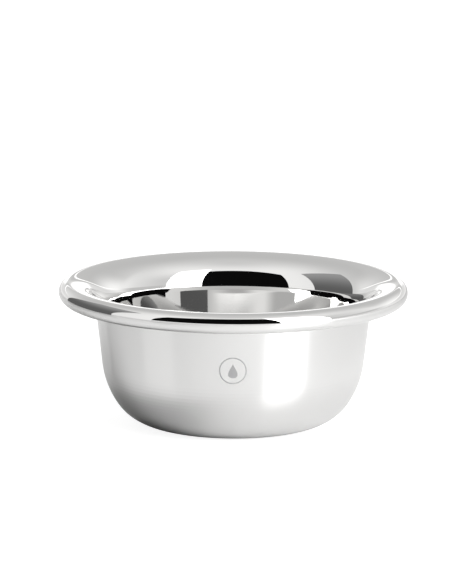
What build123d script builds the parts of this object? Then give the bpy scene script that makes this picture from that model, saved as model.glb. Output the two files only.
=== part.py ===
"""Double-walled metal shaving bowl with a wide flared brim and a rolled bead.

Millimetres. +Z is up and is the axis that every piece is turned about. The origin is the centre of the
face that the bowl stands on. Every section is drawn in the plane of radius and height.
"""
from build123d import *
from math import cos, radians, sin, tan
import os

# Overall sizes
BRIM_DIAMETER = 130.0
HEIGHT = 53.4
BEAD_RADIUS = 3.7
FLARE_RADIUS = 13.0

# Inner bowl, measured on its visible face
INNER_SHEET = 0.8
INNER_TAPER = 6.0                 # degrees that the wall leans outwards from upright
INNER_FLOOR_HEIGHT = 5.5
INNER_CORNER_RADIUS = 22.0
LAND_TAPER = 7.7                  # a narrow straight land between the wall and the flare
LAND_LENGTH = 1.3
LAND_EDGE_RADIUS = 4.0
HEM_RADIUS = 57.0                 # where the rolled edge ends, under the brim

# Outer shell, measured on its visible face
OUTER_SHEET = 0.7
OUTER_TAPER = 6.7
BASE_HEIGHT = 0.4                 # the shell's lowest face above the ground
BASE_RADIUS = 28.5                # where the flat base turns into the corner
LOWER_CORNER_RADIUS = 18.0
UPPER_CORNER_RADIUS = 32.0
CORNER_CHANGE = 35.0              # degrees from upright where one corner radius takes over from the other
NECK_BEND_RADIUS = 1.5            # from the wall into the flange under the brim
FLANGE_CLEARANCE = 0.1            # between the flange's edge and the middle of the bead

# Recess in the shell's base, for the foot pad
RECESS_HEIGHT = 1.5
RECESS_RADIUS = 23.6
RECESS_STEP_ANGLE = 60.0
RECESS_UPPER_BEND = 0.8

# Pieces between and under the sheets
SPACER_INNER_RADIUS = 14.0
SPACER_OUTER_RADIUS = 20.0
SPACER_EDGE = 0.3
PLUG_SHANK_RADIUS = 2.0
PLUG_HEAD_RADIUS = 3.2
PLUG_HEAD_HEIGHT = 1.0
PLUG_EDGE = 0.4
PAD_RADIUS = 23.0
PAD_EDGE = 0.35

# Worked out from the sizes above
CREST_RADIUS = BRIM_DIAMETER / 2 - BEAD_RADIUS
BEAD_CENTRE_HEIGHT = HEIGHT - BEAD_RADIUS
FLARE_CENTRE_HEIGHT = HEIGHT - FLARE_RADIUS
FLANGE_HEIGHT = HEIGHT - 2 * BEAD_RADIUS + INNER_SHEET
FLANGE_TOP = FLANGE_HEIGHT + OUTER_SHEET
RECESS_TOP = RECESS_HEIGHT + OUTER_SHEET


def on_circle(centre, radius, angle):
    """The point of a circle at an angle in degrees."""
    return centre[0] + radius * cos(radians(angle)), centre[1] + radius * sin(radians(angle))


def down_slope(start, drop, taper):
    """The point that is lower by a drop, on a line that leans outwards by the taper."""
    return start[0] - drop * tan(radians(taper)), start[1] - drop


def arc(centre, radius, start, turn):
    """An arc from the start angle, turning by so many degrees."""
    return CenterArc(centre, radius, start, turn)


def turned(section):
    """Turn a section, drawn as radius and height, round the bowl's axis."""
    return revolve(Plane.XZ * section, Axis.Z)


def turned_sheet(face_line, thickness, side):
    """Turn a sheet whose visible face is a line, with its thickness on one side of it."""
    outline = Wire(face_line).offset_2d(thickness, side=side, closed=True)
    return turned(make_face(outline.edges()))


def inner_bowl():
    """Liner: floor, corner, leaning wall, land, flare up to the crest, rolled bead and hem."""
    flare = (CREST_RADIUS, FLARE_CENTRE_HEIGHT)
    neck = on_circle(flare, FLARE_RADIUS, 180 - LAND_TAPER)
    land_end = down_slope(neck, LAND_LENGTH * cos(radians(LAND_TAPER)), LAND_TAPER)
    land_edge = on_circle(land_end, LAND_EDGE_RADIUS, -LAND_TAPER)
    wall_top = on_circle(land_edge, LAND_EDGE_RADIUS, 180 - INNER_TAPER)
    foot_height = INNER_FLOOR_HEIGHT + INNER_CORNER_RADIUS * (1 - sin(radians(INNER_TAPER)))
    wall_foot = down_slope(wall_top, wall_top[1] - foot_height, INNER_TAPER)
    corner = on_circle(wall_foot, INNER_CORNER_RADIUS, 180 - INNER_TAPER)
    bead = (CREST_RADIUS, BEAD_CENTRE_HEIGHT)
    bead_bottom = HEIGHT - 2 * BEAD_RADIUS
    face_line = [
        Line((0, INNER_FLOOR_HEIGHT), (corner[0], INNER_FLOOR_HEIGHT)),
        arc(corner, INNER_CORNER_RADIUS, -90, 90 - INNER_TAPER),
        Line(wall_foot, wall_top),
        arc(land_edge, LAND_EDGE_RADIUS, 180 - INNER_TAPER, INNER_TAPER - LAND_TAPER),
        Line(land_end, neck),
        arc(flare, FLARE_RADIUS, 180 - LAND_TAPER, LAND_TAPER - 90),
        arc(bead, BEAD_RADIUS, 90, -180),
        Line((CREST_RADIUS, bead_bottom), (HEM_RADIUS, bead_bottom)),
    ]
    return turned_sheet(face_line, INNER_SHEET, Side.RIGHT)


def outer_shell():
    """Body: recessed base, two-radius corner, leaning wall and the flange held in the rolled bead."""
    step = radians(RECESS_STEP_ANGLE)
    lower_bend_radius = (RECESS_HEIGHT - BASE_HEIGHT) / (1 - cos(step)) - RECESS_UPPER_BEND
    ring_radius = RECESS_RADIUS + (RECESS_UPPER_BEND + lower_bend_radius) * sin(step)
    upper_bend = (RECESS_RADIUS, RECESS_HEIGHT - RECESS_UPPER_BEND)
    lower_bend = (ring_radius, BASE_HEIGHT + lower_bend_radius)
    lower_corner = (BASE_RADIUS, BASE_HEIGHT + LOWER_CORNER_RADIUS)
    upper_corner = on_circle(lower_corner, LOWER_CORNER_RADIUS - UPPER_CORNER_RADIUS, -CORNER_CHANGE)
    wall_foot = on_circle(upper_corner, UPPER_CORNER_RADIUS, -OUTER_TAPER)
    bend_height = FLANGE_HEIGHT - NECK_BEND_RADIUS
    wall_top_height = bend_height + NECK_BEND_RADIUS * sin(radians(OUTER_TAPER))
    wall_top = down_slope(wall_foot, wall_foot[1] - wall_top_height, OUTER_TAPER)
    neck_bend = on_circle(wall_top, NECK_BEND_RADIUS, -OUTER_TAPER)
    face_line = [
        Line((PLUG_SHANK_RADIUS, RECESS_HEIGHT), (RECESS_RADIUS, RECESS_HEIGHT)),
        arc(upper_bend, RECESS_UPPER_BEND, 90, -RECESS_STEP_ANGLE),
        arc(lower_bend, lower_bend_radius, 270 - RECESS_STEP_ANGLE, RECESS_STEP_ANGLE),
        Line((ring_radius, BASE_HEIGHT), (BASE_RADIUS, BASE_HEIGHT)),
        arc(lower_corner, LOWER_CORNER_RADIUS, -90, 90 - CORNER_CHANGE),
        arc(upper_corner, UPPER_CORNER_RADIUS, -CORNER_CHANGE, CORNER_CHANGE - OUTER_TAPER),
        Line(wall_foot, wall_top),
        arc(neck_bend, NECK_BEND_RADIUS, 180 - OUTER_TAPER, OUTER_TAPER - 90),
        Line((neck_bend[0], FLANGE_HEIGHT), (CREST_RADIUS - FLANGE_CLEARANCE, FLANGE_HEIGHT)),
    ]
    return turned_sheet(face_line, OUTER_SHEET, Side.LEFT)


def rim_wire():
    """Round wire that the bead is rolled around: it touches the bead's top and presses on the flange."""
    bead_roof = HEIGHT - INNER_SHEET
    wire_radius = (bead_roof - FLANGE_TOP) / 2
    return turned(Pos(CREST_RADIUS, bead_roof - wire_radius) * Circle(wire_radius))


def base_spacer():
    """Ring between the two bottoms, which carries the inner bowl."""
    height = INNER_FLOOR_HEIGHT - INNER_SHEET - RECESS_TOP
    width = SPACER_OUTER_RADIUS - SPACER_INNER_RADIUS
    middle = (SPACER_INNER_RADIUS + width / 2, RECESS_TOP + height / 2)
    return turned(Pos(*middle) * RectangleRounded(width, height, SPACER_EDGE))


def vent_plug():
    """Plug in the hole of the shell's base, with a round-edged head inside the air gap."""
    head_top = RECESS_TOP + PLUG_HEAD_HEIGHT
    edge_centre = (PLUG_HEAD_RADIUS - PLUG_EDGE, head_top - PLUG_EDGE)
    outline = [
        Line((0, RECESS_HEIGHT), (PLUG_SHANK_RADIUS, RECESS_HEIGHT)),
        Line((PLUG_SHANK_RADIUS, RECESS_HEIGHT), (PLUG_SHANK_RADIUS, RECESS_TOP)),
        Line((PLUG_SHANK_RADIUS, RECESS_TOP), (PLUG_HEAD_RADIUS, RECESS_TOP)),
        Line((PLUG_HEAD_RADIUS, RECESS_TOP), (PLUG_HEAD_RADIUS, edge_centre[1])),
        arc(edge_centre, PLUG_EDGE, 0, 90),
        Line((edge_centre[0], head_top), (0, head_top)),
        Line((0, head_top), (0, RECESS_HEIGHT)),
    ]
    return turned(make_face(outline))


def foot_pad():
    """Thin non-slip disc in the recess, standing proud of the shell by the base height."""
    outline = [
        Line((0, 0), (PAD_RADIUS - PAD_EDGE, 0)),
        arc((PAD_RADIUS - PAD_EDGE, PAD_EDGE), PAD_EDGE, -90, 90),
        Line((PAD_RADIUS, PAD_EDGE), (PAD_RADIUS, RECESS_HEIGHT)),
        Line((PAD_RADIUS, RECESS_HEIGHT), (0, RECESS_HEIGHT)),
        Line((0, RECESS_HEIGHT), (0, 0)),
    ]
    return turned(make_face(outline))


PIECES = {
    "inner_bowl": inner_bowl,
    "outer_shell": outer_shell,
    "rim_wire": rim_wire,
    "base_spacer": base_spacer,
    "vent_plug": vent_plug,
    "foot_pad": foot_pad,
}

os.makedirs("parts", exist_ok=True)
for name, make_piece in PIECES.items():
    export_step(make_piece(), f"parts/{name}.step")
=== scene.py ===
from math import cos, pi, radians, sin, tan

import bmesh
import bpy
from mathutils import Matrix, Vector


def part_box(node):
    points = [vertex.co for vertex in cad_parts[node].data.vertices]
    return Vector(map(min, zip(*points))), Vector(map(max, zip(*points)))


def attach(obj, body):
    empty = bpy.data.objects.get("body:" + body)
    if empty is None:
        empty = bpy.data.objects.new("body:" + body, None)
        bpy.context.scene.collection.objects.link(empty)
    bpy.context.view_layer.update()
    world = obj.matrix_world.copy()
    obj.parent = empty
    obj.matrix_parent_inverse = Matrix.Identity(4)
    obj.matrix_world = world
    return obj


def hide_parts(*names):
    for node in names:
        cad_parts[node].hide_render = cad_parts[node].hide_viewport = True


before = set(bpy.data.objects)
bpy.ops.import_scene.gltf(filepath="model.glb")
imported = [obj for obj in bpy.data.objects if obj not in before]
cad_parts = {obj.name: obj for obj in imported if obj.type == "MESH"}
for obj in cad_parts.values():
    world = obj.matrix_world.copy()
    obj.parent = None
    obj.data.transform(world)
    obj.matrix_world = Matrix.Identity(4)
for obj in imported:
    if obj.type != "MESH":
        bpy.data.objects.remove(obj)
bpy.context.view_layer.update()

MM = 0.001

# The two sheets, in metres, as the part has them
INNER_TAPER = 6.0                 # degrees from upright
OUTER_TAPER = 6.7
BEAD_RADIUS = 3.7 * MM
FLARE_RADIUS = 13.0 * MM
LAND_TAPER = 7.7                  # a narrow straight land between the flare and the inner wall
LAND_LENGTH = 1.3 * MM
LAND_EDGE_RADIUS = 4.0 * MM
BRIM_RADIUS = 65.0 * MM
INNER_SHEET = 0.8 * MM
INNER_CORNER_RADIUS = 22.0 * MM
HEM_RADIUS = 57.0 * MM
OUTER_SHEET = 0.7 * MM
BASE_HEIGHT = 0.4 * MM
BASE_RADIUS = 28.5 * MM
LOWER_CORNER_RADIUS = 18.0 * MM
UPPER_CORNER_RADIUS = 32.0 * MM
CORNER_CHANGE = 35.0              # degrees from upright, where one corner radius takes over from the other
NECK_BEND_RADIUS = 1.5 * MM
PLUG_RADIUS = 2.0 * MM
RECESS_RADIUS = 23.6 * MM
RECESS_STEP_ANGLE = 60.0
RECESS_UPPER_BEND = 0.8 * MM
FLANGE_CLEARANCE = 0.1 * MM

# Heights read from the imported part
RIM_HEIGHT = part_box("inner_bowl")[1].z
FLOOR_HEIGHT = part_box("inner_bowl")[0].z + INNER_SHEET
RECESS_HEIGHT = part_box("foot_pad")[1].z

SEGMENTS = 256                    # steps round the axis
ARC_STEP = 2.5                    # degrees along an arc
LONG_STRAIGHT = 1.2 * MM          # straights from this length get an extra ring near each end
RING_INSET = 0.12 * MM

CREST_RADIUS = BRIM_RADIUS - BEAD_RADIUS


# ---------------------------------------------------------------- sections turned round the axis

def on_circle(centre, radius, angle):
    """The point of a circle at an angle in degrees."""
    return centre[0] + radius * cos(radians(angle)), centre[1] + radius * sin(radians(angle))


def arc(centre, radius, start, turn):
    """Points along an arc, both ends included."""
    steps = max(2, round(abs(turn) / ARC_STEP))
    return [on_circle(centre, radius, start + turn * k / steps) for k in range(steps + 1)]


def turned(name, outline):
    """A closed surface of revolution: the outline runs from the axis round the section and back to it."""
    shape = bmesh.new()
    rings = []
    for radius, height in outline:
        if radius < 1e-9:
            rings.append([shape.verts.new((0, 0, height))])
            continue
        turns = [2 * pi * k / SEGMENTS for k in range(SEGMENTS)]
        rings.append([shape.verts.new((radius * cos(a), radius * sin(a), height)) for a in turns])
    pairs = list(zip(rings, rings[1:]))
    if len(rings[0]) > 1:
        pairs.append((rings[-1], rings[0]))
    for ring, following in pairs:
        for k in range(SEGMENTS):
            corners = [ring[k % len(ring)], ring[(k + 1) % len(ring)]]
            corners += [following[(k + 1) % len(following)], following[k % len(following)]]
            shape.faces.new(list(dict.fromkeys(corners)))
    bmesh.ops.recalc_face_normals(shape, faces=shape.faces)
    mesh = bpy.data.meshes.new(name)
    shape.to_mesh(mesh)
    shape.free()
    mesh.shade_smooth()
    mesh.set_sharp_from_angle(angle=radians(30))
    piece = bpy.data.objects.new(name, mesh)
    bpy.context.collection.objects.link(piece)
    return piece


def inner_section(depth):
    """The inner bowl's section, so far below its visible face."""
    lean, land_lean = radians(INNER_TAPER), radians(LAND_TAPER)
    flare = (CREST_RADIUS, RIM_HEIGHT - FLARE_RADIUS)
    bead = (CREST_RADIUS, RIM_HEIGHT - BEAD_RADIUS)
    hem_height = RIM_HEIGHT - 2 * BEAD_RADIUS + depth
    neck = on_circle(flare, FLARE_RADIUS, 180 - LAND_TAPER)
    land_end = (neck[0] - LAND_LENGTH * sin(land_lean), neck[1] - LAND_LENGTH * cos(land_lean))
    edge = on_circle(land_end, LAND_EDGE_RADIUS, -LAND_TAPER)
    wall_top = on_circle(edge, LAND_EDGE_RADIUS, 180 - INNER_TAPER)
    corner_height = FLOOR_HEIGHT + INNER_CORNER_RADIUS
    wall_drop = wall_top[1] - corner_height + INNER_CORNER_RADIUS * sin(lean)
    corner_across = wall_top[0] - wall_drop * tan(lean) - INNER_CORNER_RADIUS * cos(lean)
    corner = (corner_across, corner_height)
    return (
        [(0, FLOOR_HEIGHT - depth)]
        + [(corner[0] * share, FLOOR_HEIGHT - depth) for share in (0.25, 0.5, 0.75)]
        + arc(corner, INNER_CORNER_RADIUS + depth, -90, 90 - INNER_TAPER)
        + arc(edge, LAND_EDGE_RADIUS - depth, 180 - INNER_TAPER, INNER_TAPER - LAND_TAPER)
        + arc(flare, FLARE_RADIUS - depth, 180 - LAND_TAPER, LAND_TAPER - 90)
        + arc(bead, BEAD_RADIUS - depth, 90, -180)[1:]
        + [(HEM_RADIUS, hem_height)]
    )


def outer_section(depth):
    """The outer shell's section, so far inside its visible face."""
    lean = radians(OUTER_TAPER)
    step = radians(RECESS_STEP_ANGLE)
    lower_bend_radius = (RECESS_HEIGHT - BASE_HEIGHT) / (1 - cos(step)) - RECESS_UPPER_BEND
    ring_radius = RECESS_RADIUS + (RECESS_UPPER_BEND + lower_bend_radius) * sin(step)
    upper_bend = (RECESS_RADIUS, RECESS_HEIGHT - RECESS_UPPER_BEND)
    lower_bend = (ring_radius, BASE_HEIGHT + lower_bend_radius)
    lower_corner = (BASE_RADIUS, BASE_HEIGHT + LOWER_CORNER_RADIUS)
    upper_corner = on_circle(lower_corner, LOWER_CORNER_RADIUS - UPPER_CORNER_RADIUS, -CORNER_CHANGE)
    foot = on_circle(upper_corner, UPPER_CORNER_RADIUS, -OUTER_TAPER)
    flange_height = RIM_HEIGHT - 2 * BEAD_RADIUS + INNER_SHEET
    bend_height = flange_height - NECK_BEND_RADIUS
    bend_across = foot[0] + NECK_BEND_RADIUS / cos(lean) + (bend_height - foot[1]) * tan(lean)
    neck_bend = (bend_across, bend_height)
    return (
        [(PLUG_RADIUS, RECESS_HEIGHT + depth)]
        + arc(upper_bend, RECESS_UPPER_BEND + depth, 90, -RECESS_STEP_ANGLE)
        + arc(lower_bend, lower_bend_radius - depth, 270 - RECESS_STEP_ANGLE, RECESS_STEP_ANGLE)[1:]
        + arc(lower_corner, LOWER_CORNER_RADIUS - depth, -90, 90 - CORNER_CHANGE)
        + arc(upper_corner, UPPER_CORNER_RADIUS - depth, -CORNER_CHANGE, CORNER_CHANGE - OUTER_TAPER)[1:]
        + arc(neck_bend, NECK_BEND_RADIUS + depth, 180 - OUTER_TAPER, OUTER_TAPER - 90)
        + [(CREST_RADIUS - FLANGE_CLEARANCE, flange_height + depth)]
    )


def held_straight(outline):
    """The outline with extra points near the ends of its straights, where smooth shading would bend them."""
    points = [Vector(outline[0])]
    for point in map(Vector, outline[1:]):
        step = point - points[-1]
        if step.length > LONG_STRAIGHT:
            inset = step.normalized() * RING_INSET
            points += [points[-1] + inset, point - inset]
        points.append(point)
    return points


def sheet(name, section, thickness):
    """A sheet of even thickness, turned from its section."""
    return turned(name, held_straight(section(0)) + held_straight(section(thickness))[::-1])


# ---------------------------------------------------------------- node helpers

class Graph:
    """Short names for the shader nodes that this scene uses."""

    def __init__(self, tree):
        self.tree = tree
        tree.nodes.clear()

    def node(self, kind, **settings):
        made = self.tree.nodes.new(kind)
        for name, value in settings.items():
            setattr(made, name, value)
        return made

    def feed(self, socket, value):
        """Link a socket, or set a plain value on it."""
        if isinstance(value, bpy.types.NodeSocket):
            self.tree.links.new(value, socket)
        elif value is not None:
            socket.default_value = value

    def math(self, operation, a, b=None, clamp=False):
        made = self.node("ShaderNodeMath", operation=operation, use_clamp=clamp)
        self.feed(made.inputs[0], a)
        self.feed(made.inputs[1], b)
        return made.outputs[0]

    def vector(self, operation, a, b=None):
        made = self.node("ShaderNodeVectorMath", operation=operation)
        self.feed(made.inputs[0], a)
        self.feed(made.inputs[1], b)
        return made.outputs["Value"] if operation == "LENGTH" else made.outputs[0]

    def fade(self, value, start, end, low=0.0, high=1.0):
        """Rises smoothly from low to high as the value goes from start to end."""
        made = self.node("ShaderNodeMapRange", interpolation_type="SMOOTHSTEP")
        if start > end:
            start, end, low, high = end, start, high, low
        for socket, setting in zip(made.inputs, (value, start, end, low, high)):
            self.feed(socket, setting)
        return made.outputs[0]

    def mix(self, factor, a, b):
        made = self.node("ShaderNodeMix", data_type="FLOAT")
        self.feed(made.inputs["Factor"], factor)
        self.feed(made.inputs["A"], a)
        self.feed(made.inputs["B"], b)
        return made.outputs["Result"]

    def mix_colour(self, factor, a, b):
        made = self.node("ShaderNodeMix", data_type="RGBA")
        self.feed(made.inputs[0], factor)
        self.feed(made.inputs[6], a)
        self.feed(made.inputs[7], b)
        return made.outputs[2]

    def split(self, vector):
        made = self.node("ShaderNodeSeparateXYZ")
        self.feed(made.inputs[0], vector)
        return made.outputs

    def join(self, x, y, z):
        made = self.node("ShaderNodeCombineXYZ")
        for socket, value in zip(made.inputs, (x, y, z)):
            self.feed(socket, value)
        return made.outputs[0]

    def noise(self, vector, scale, detail=2.0, roughness=0.5):
        made = self.node("ShaderNodeTexNoise")
        self.feed(made.inputs["Vector"], vector)
        made.inputs["Scale"].default_value = scale
        made.inputs["Detail"].default_value = detail
        made.inputs["Roughness"].default_value = roughness
        return made.outputs["Fac"]

    def bump(self, height, strength, distance, normal=None):
        made = self.node("ShaderNodeBump")
        self.feed(made.inputs["Height"], height)
        made.inputs["Strength"].default_value = strength
        made.inputs["Distance"].default_value = distance
        self.feed(made.inputs["Normal"], normal)
        return made.outputs[0]


def material(name):
    """A new material, its graph and its principled shader."""
    made = bpy.data.materials.new(name)
    made.use_nodes = True
    graph = Graph(made.node_tree)
    shader = graph.node("ShaderNodeBsdfPrincipled")
    output = graph.node("ShaderNodeOutputMaterial")
    made.node_tree.links.new(shader.outputs[0], output.inputs["Surface"])
    return made, graph, shader


def turned_place(graph):
    """Object coordinates as distance from the axis, angle round it and height, in metres and radians."""
    place = graph.node("ShaderNodeTexCoord").outputs["Object"]
    x, y, z = graph.split(place)
    across = graph.vector("LENGTH", graph.join(x, y, 0.0))
    return place, across, graph.math("ARCTAN2", y, x), z


# ---------------------------------------------------------------- materials

CHROME = (0.782, 0.78, 0.775, 1)
ETCHED = (0.4, 0.4, 0.405, 1)
STEEL = (0.56, 0.565, 0.57, 1)
BLACK_RUBBER = (0.03, 0.03, 0.032, 1)
PALE_PLASTIC = (0.6, 0.59, 0.56, 1)

SPUN_TOP = 9.0 * MM               # the turned finish of the inner floor fades out at this height
MARK_HEIGHT = 30.0 * MM
MARK_RADIUS = 4.8 * MM
MARK_LINE = 0.22 * MM
DROP_LENGTH = 5.6 * MM
DROP_HALF_WIDTH = 1.75 * MM
DROP_FILL = 3.08                  # the drop's profile peaks at 1 / 3.08 before it is widened


def polish(graph, place, across, height):
    """A mirror polish: faint clouds of haze, and the relief of slow waves and fine turning lines."""
    haze = graph.fade(graph.noise(place, 70, 3, 0.6), 0.35, 0.75, 0.012, 0.04)
    lines = graph.noise(graph.join(graph.math("ADD", across, height), height, across), 9000, 1)
    waves = graph.noise(place, 22, 1)
    relief = graph.bump(waves, 0.1, 0.00004)
    return haze, graph.bump(lines, 0.02, 0.00001, relief)


def droplet_mark(graph, place):
    """1 on a plain ring with a water drop in it, on the front of the body."""
    x, y, z = graph.split(place)
    up = graph.math("SUBTRACT", z, MARK_HEIGHT)
    from_middle = graph.vector("LENGTH", graph.join(x, up, 0.0))
    from_line = graph.math("ABSOLUTE", graph.math("SUBTRACT", from_middle, MARK_RADIUS))
    ring = graph.fade(from_line, MARK_LINE + 0.05 * MM, MARK_LINE - 0.05 * MM)
    share = graph.math("DIVIDE", graph.math("ADD", up, DROP_LENGTH / 2), DROP_LENGTH, clamp=True)
    taper = graph.math("POWER", graph.math("SUBTRACT", 1.0, share), 1.5)
    profile = graph.math("MULTIPLY", graph.math("SQRT", share), taper)
    reach = graph.math("MULTIPLY", profile, DROP_FILL * DROP_HALF_WIDTH)
    inside = graph.math("SUBTRACT", reach, graph.math("ABSOLUTE", x))
    drop = graph.fade(inside, -0.02 * MM, 0.06 * MM)
    front = graph.fade(y, -0.01, -0.02)
    return graph.math("MULTIPLY", graph.math("MAXIMUM", ring, drop), front)


def body_chrome():
    """Mirror chrome with the etched mark."""
    made, graph, shader = material("body_chrome")
    place, across, _, height = turned_place(graph)
    haze, relief = polish(graph, place, across, height)
    mark = droplet_mark(graph, place)
    frost = graph.fade(graph.noise(place, 6000, 2), 0.3, 0.7, 0.36, 0.5)
    graph.feed(shader.inputs["Base Color"], graph.mix_colour(mark, CHROME, ETCHED))
    shader.inputs["Metallic"].default_value = 1
    graph.feed(shader.inputs["Roughness"], graph.mix(mark, haze, frost))
    graph.feed(shader.inputs["Normal"], graph.bump(mark, -0.4, 0.00003, relief))
    return made


def liner_chrome():
    """Mirror chrome, with the floor and the foot of the corner left as they came off the lathe."""
    made, graph, shader = material("liner_chrome")
    place, across, angle, height = turned_place(graph)
    haze, relief = polish(graph, place, across, height)
    along = graph.math("ADD", across, height)
    line = graph.noise(graph.join(along, 0.0, 0.0), 1500, 4, 0.7)
    turns = graph.join(graph.math("MULTIPLY", along, 900), graph.math("MULTIPLY", angle, 1.5), 0.0)
    brushed = graph.noise(turns, 1, 3)
    edge = graph.math("ADD", height, graph.math("MULTIPLY", graph.math("SUBTRACT", line, 0.5), 6 * MM))
    spun = graph.fade(edge, SPUN_TOP + 2 * MM, SPUN_TOP - 2 * MM)
    shader.inputs["Base Color"].default_value = CHROME
    shader.inputs["Metallic"].default_value = 1
    spun_roughness = graph.fade(graph.math("ADD", line, brushed), 0.7, 1.3, 0.14, 0.32)
    graph.feed(shader.inputs["Roughness"], graph.mix(spun, haze, spun_roughness))
    grooves = graph.math("MULTIPLY", graph.math("ADD", line, brushed), spun)
    graph.feed(shader.inputs["Normal"], graph.bump(grooves, 0.25, 0.00006, relief))
    return made


def drawn_steel():
    """Plain steel wire with draw lines that run along it."""
    made, graph, shader = material("wire_steel")
    _, across, angle, height = turned_place(graph)
    section = [graph.math("MULTIPLY", distance, 4000) for distance in (across, height)]
    streak = graph.noise(graph.join(*section, angle), 1, 3)
    shader.inputs["Base Color"].default_value = STEEL
    shader.inputs["Metallic"].default_value = 1
    graph.feed(shader.inputs["Roughness"], graph.fade(streak, 0.3, 0.7, 0.24, 0.42))
    graph.feed(shader.inputs["Normal"], graph.bump(streak, 0.2, 0.00003))
    return made


def moulded(name, colour, grain_scale, rough, relief):
    """Dull rubber or plastic with a fine moulded grain."""
    made, graph, shader = material(name)
    place = turned_place(graph)[0]
    grain = graph.noise(place, grain_scale, 3, 0.6)
    darker = tuple(0.8 * c for c in colour[:3]) + (1,)
    graph.feed(shader.inputs["Base Color"], graph.mix_colour(graph.fade(grain, 0.35, 0.65), darker, colour))
    graph.feed(shader.inputs["Roughness"], graph.fade(grain, 0.3, 0.7, rough - 0.1, rough + 0.1))
    graph.feed(shader.inputs["Normal"], graph.bump(grain, 0.5, relief))
    return made


# ---------------------------------------------------------------- pieces

def add(piece, finish, slot, *nodes):
    """Puts a piece with its finish on the part, in place of the CAD nodes that it replaces."""
    piece.data.materials.append(finish)
    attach(piece, "root")
    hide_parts(*nodes)


add(sheet("polished_liner", inner_section, INNER_SHEET), liner_chrome(), "bright_chrome_liner", "inner_bowl")
add(sheet("polished_body", outer_section, OUTER_SHEET), body_chrome(), "bright_chrome_body", "outer_shell")

for node, finish in (
    ("foot_pad", moulded("pad_rubber", BLACK_RUBBER, 2600, 0.72, 0.00012)),
    ("vent_plug", moulded("plug_rubber", BLACK_RUBBER, 3200, 0.68, 0.00008)),
    ("base_spacer", moulded("spacer_plastic", PALE_PLASTIC, 1800, 0.5, 0.00004)),
    ("rim_wire", drawn_steel()),
):
    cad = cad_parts[node]
    cad.data.materials.clear()
    cad.data.materials.append(finish)


# ---------------------------------------------------------------- studio

# The light tent stands this far round the bowl, in metres. Its dark opening faces the camera's way, the soft
# box stands beside it on the right, and a grey card hangs on the left.
OPENING_FRONT = -0.548
OPENING_LEFT, OPENING_RIGHT = -0.71, 0.312
OPENING_LOW, OPENING_HIGH = 0.10, 0.98
SOFT_BOX_END = (0.84, -0.405)
SOFT_BOX_LOW, SOFT_BOX_HIGH = 0.0, 1.30
CARD_ACROSS = -0.55
CARD_FRONT, CARD_BACK = -0.085, 0.52
CARD_HIGH = 0.70

# Brightness of the tent: its large parts first, then the soft patches on them
TENT_SIDE, TENT_BACK, TENT_ROOF, TENT_FOOT = 1.08, 0.63, 0.74, 1.01
RIGHT_NEAR, RIGHT_FAR = 0.75, 0.96
BACK_RIGHT, BACK_LEFT = 1.18, 0.92
RIGHT_LOW, BACK_LOW = 0.66, 0.86
HORIZON = 1.6                     # a narrow bright strip low down behind the bowl
GLINT = 1.4                       # the patch under that strip, straight behind the bowl

# Brightness of the panels, and the heights at which it changes
OPENING_TONE = 0.004
CARD_LOW_TONE, CARD_HIGH_TONE = 0.13, 0.38
CARD_LOW = 0.15                   # the card gets lighter from this height up
SOFT_BOX = 6.0                    # brightness of the soft box as the metal reflects it
SOFT_BOX_DIMS, SOFT_BOX_TOP_SHARE = 0.7, 0.28
SOFT_BOX_LIGHT = 17.2             # and as it lights the table
LIGHT_DIMS, LIGHT_ENDS, LIGHT_TOP_SHARE = 0.45, 0.9, 0.08

# The table, and the tones of its satin sheet, with painted shade in them: darker to the right, under the bowl
# and to the bowl's left
TABLE_HALF = 8.0
TABLE_GLOW = 0.88
SHEEN_TONE, SHEEN_RIGHT_PAINTED_SHADE = 0.76, 0.53
UNDER_BOWL_PAINTED_SHADE = 0.72
LEFT_SHADE_SHARE = 0.6


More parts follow.
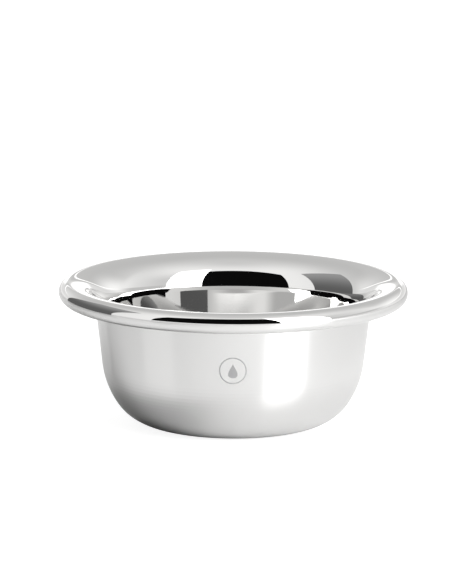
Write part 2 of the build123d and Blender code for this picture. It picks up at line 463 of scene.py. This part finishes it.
def tent():
    """The pale tent round the bowl, as a world: brighter at the sides and the foot, darker at the back."""
    world = bpy.data.worlds.new("tent")
    bpy.context.scene.world = world
    world.use_nodes = True
    graph = Graph(world.node_tree)
    x, y, z = graph.split(graph.node("ShaderNodeTexCoord").outputs["Generated"])
    azimuth = graph.math("MULTIPLY", graph.math("ARCTAN2", x, graph.math("MULTIPLY", y, -1)), 180 / pi)
    elevation = graph.math("MULTIPLY", graph.math("ARCSINE", z), 180 / pi)

    def across(*ends):
        """A fade by azimuth in degrees: 0 is the camera's side, + is to the right, 180 is behind the bowl."""
        return graph.fade(azimuth, *ends)

    def up(*ends):
        """A fade by elevation in degrees."""
        return graph.fade(elevation, *ends)

    def patch(light, value, *fades):
        """Brings the light to a value wherever all the fades are 1."""
        cover = fades[0]
        for fade in fades[1:]:
            cover = graph.math("MULTIPLY", cover, fade)
        return graph.mix(cover, light, value)

    from_front = graph.math("ABSOLUTE", azimuth)
    behind = graph.math("MAXIMUM", across(-138, -158), across(105, 150))
    right_side = across(62, 112, RIGHT_NEAR, RIGHT_FAR)
    light = graph.fade(from_front, 168, 50, TENT_BACK, TENT_SIDE)
    light = patch(light, TENT_ROOF, up(54, 90))
    light = patch(light, right_side, across(45, 60), across(122, 110), up(56, 26))
    light = patch(light, BACK_RIGHT, across(96, 128), across(168, 132), up(36, 14))
    light = patch(light, BACK_LEFT, across(-182, -148), across(-126, -146), up(34, 14))
    light = patch(light, RIGHT_LOW, across(60, 70), across(125, 100), up(15, 13))
    light = patch(light, BACK_LOW, behind, up(11.6, 10.4))
    light = patch(light, HORIZON, behind, up(13.5, 13.25), up(12.35, 12.95))
    light = patch(light, TENT_FOOT, up(5, 2))
    light = patch(light, GLINT, graph.fade(from_front, 166, 172), up(10.7, 10.0), up(0.5, 1.5))

    tent_light = graph.node("ShaderNodeBackground")
    graph.feed(tent_light.inputs["Strength"], light)
    tent_light.inputs["Color"].default_value = (1, 0.997, 0.99, 1)
    plain = graph.node("ShaderNodeBackground")
    plain.inputs["Color"].default_value = (1, 1, 1, 1)
    seen = graph.node("ShaderNodeMixShader")
    graph.feed(seen.inputs[0], graph.node("ShaderNodeLightPath").outputs["Is Camera Ray"])
    graph.feed(seen.inputs[1], tent_light.outputs[0])
    graph.feed(seen.inputs[2], plain.outputs[0])
    output = graph.node("ShaderNodeOutputWorld")
    graph.feed(output.inputs["Surface"], seen.outputs[0])


def glowing(name, tone):
    """A material that only glows; tone(graph) gives its brightness."""
    made = bpy.data.materials.new(name)
    made.use_nodes = True
    graph = Graph(made.node_tree)
    emission = graph.node("ShaderNodeEmission")
    graph.feed(emission.inputs["Strength"], tone(graph))
    output = graph.node("ShaderNodeOutputMaterial")
    made.node_tree.links.new(emission.outputs[0], output.inputs["Surface"])
    return made


def stage_quad(name, corners, finish):
    """A flat four-cornered piece of the studio."""
    mesh = bpy.data.meshes.new(name)
    mesh.from_pydata(corners, [], [(0, 1, 2, 3)])
    made = bpy.data.objects.new(name, mesh)
    bpy.context.collection.objects.link(made)
    mesh.materials.append(finish)
    return made


def upright(name, foot, end, low, high, finish):
    """A standing panel of the studio between two places on the table, unseen by the camera."""
    corners = [(*foot, low), (*end, low), (*end, high), (*foot, high)]
    stage_quad(name, corners, finish).visible_camera = False


def height_above_table(graph):
    """Object height in metres: the panels' meshes are drawn in place."""
    return graph.split(graph.node("ShaderNodeTexCoord").outputs["Object"])[2]


def studio_panels():
    """The tent's dark opening, the soft box beside it and the grey card."""
    def soft_box_tone(graph):
        height = height_above_table(graph)
        light_top, reflected_top = LIGHT_TOP_SHARE * SOFT_BOX_LIGHT, SOFT_BOX_TOP_SHARE * SOFT_BOX
        light = graph.fade(height, LIGHT_ENDS, LIGHT_DIMS, light_top, SOFT_BOX_LIGHT)
        reflected = graph.fade(height, SOFT_BOX_HIGH, SOFT_BOX_DIMS, reflected_top, SOFT_BOX)
        return graph.mix(graph.node("ShaderNodeLightPath").outputs["Is Glossy Ray"], light, reflected)

    def card_tone(graph):
        return graph.fade(height_above_table(graph), CARD_LOW, CARD_HIGH, CARD_LOW_TONE, CARD_HIGH_TONE)

    left, right = (OPENING_LEFT, OPENING_FRONT), (OPENING_RIGHT, OPENING_FRONT)
    opening = glowing("opening_black", lambda graph: OPENING_TONE)
    upright("tent_opening", left, right, OPENING_LOW, OPENING_HIGH, opening)
    cloth = glowing("soft_box_cloth", soft_box_tone)
    upright("soft_box", right, SOFT_BOX_END, SOFT_BOX_LOW, SOFT_BOX_HIGH, cloth)
    card = glowing("card_grey", card_tone)
    upright("grey_card", (CARD_ACROSS, CARD_FRONT), (CARD_ACROSS, CARD_BACK), 0, CARD_HIGH, card)
    for finish in (opening, card):
        finish.cycles.emission_sampling = "NONE"


def studio_floor():
    """A plain white table top for the camera, and the satin sheet that the polished metal reflects, with
    painted shade and a painted shadow in the sheet's colour.
    """
    def level(height):
        return [(x * TABLE_HALF, y * TABLE_HALF, height) for x, y in ((-1, -1), (1, -1), (1, 1), (-1, 1))]

    white, _, shader = material("table_paint")
    shader.inputs["Base Color"].default_value = (0.3, 0.3, 0.3, 1)
    shader.inputs["Roughness"].default_value = 0.9
    shader.inputs["Emission Color"].default_value = (1, 1, 1, 1)
    shader.inputs["Emission Strength"].default_value = TABLE_GLOW
    top = stage_quad("table_top", level(-0.1 * MM), white)
    top.visible_glossy = False

    satin, graph, shader = material("table_satin")
    x, y, _ = graph.split(graph.node("ShaderNodeTexCoord").outputs["Object"])
    from_axis = graph.vector("LENGTH", graph.join(x, y, 0.0))
    # painted shade: the sheet darkens towards the right, where the soft box lights it most
    tone = graph.fade(x, 0.0, 0.2, SHEEN_TONE, SHEEN_RIGHT_PAINTED_SHADE)
    # painted shade round the bowl's foot, darker close to the axis
    tone = graph.math("MULTIPLY", tone, graph.fade(from_axis, 0.02, 0.11, UNDER_BOWL_PAINTED_SHADE, 1.0))
    # a painted shadow of the bowl on the sheet, to the bowl's left
    left_shade = graph.math("MULTIPLY", graph.fade(x, 0.01, -0.04), graph.fade(from_axis, 0.085, 0.04))
    tone = graph.math("MULTIPLY", tone, graph.fade(left_shade, 0.0, 1.0, 1.0, LEFT_SHADE_SHARE))
    graph.feed(shader.inputs["Base Color"], graph.join(tone, tone, tone))
    shader.inputs["Roughness"].default_value = 0.3
    shader.inputs["Specular IOR Level"].default_value = 0.33
    under = stage_quad("table_sheen", level(-0.05 * MM), satin)
    under.visible_camera = False
    under.visible_diffuse = False
    under.visible_shadow = False


CAMERA_ELEVATION = 12.08          # degrees above level
CAMERA_DISTANCE = 1.4
CAMERA_PIVOT = 0.025              # height of the point that the distance is measured from
CAMERA_ROLL = 0.3                 # degrees
CAMERA_LENS = 236.5
AIM = Vector((-0.0003, 0, 0.0519))


def studio_camera():
    """A long lens that looks down on the bowl a little."""
    data = bpy.data.cameras.new("camera")
    camera = bpy.data.objects.new("camera", data)
    bpy.context.collection.objects.link(camera)
    bpy.context.scene.camera = camera
    data.lens = CAMERA_LENS
    data.clip_start = 0.1
    data.clip_end = 30
    tilt = radians(CAMERA_ELEVATION)
    camera.location = Vector((0, -cos(tilt) * CAMERA_DISTANCE, sin(tilt) * CAMERA_DISTANCE + CAMERA_PIVOT))
    facing = (AIM - camera.location).to_track_quat("-Z", "Y").to_matrix().to_4x4()
    roll = Matrix.Rotation(radians(CAMERA_ROLL), 4, "Z")
    camera.matrix_world = Matrix.Translation(camera.location) @ facing @ roll


tent()
studio_panels()
studio_floor()
studio_camera()
bpy.context.scene.view_settings.view_transform = "Standard"
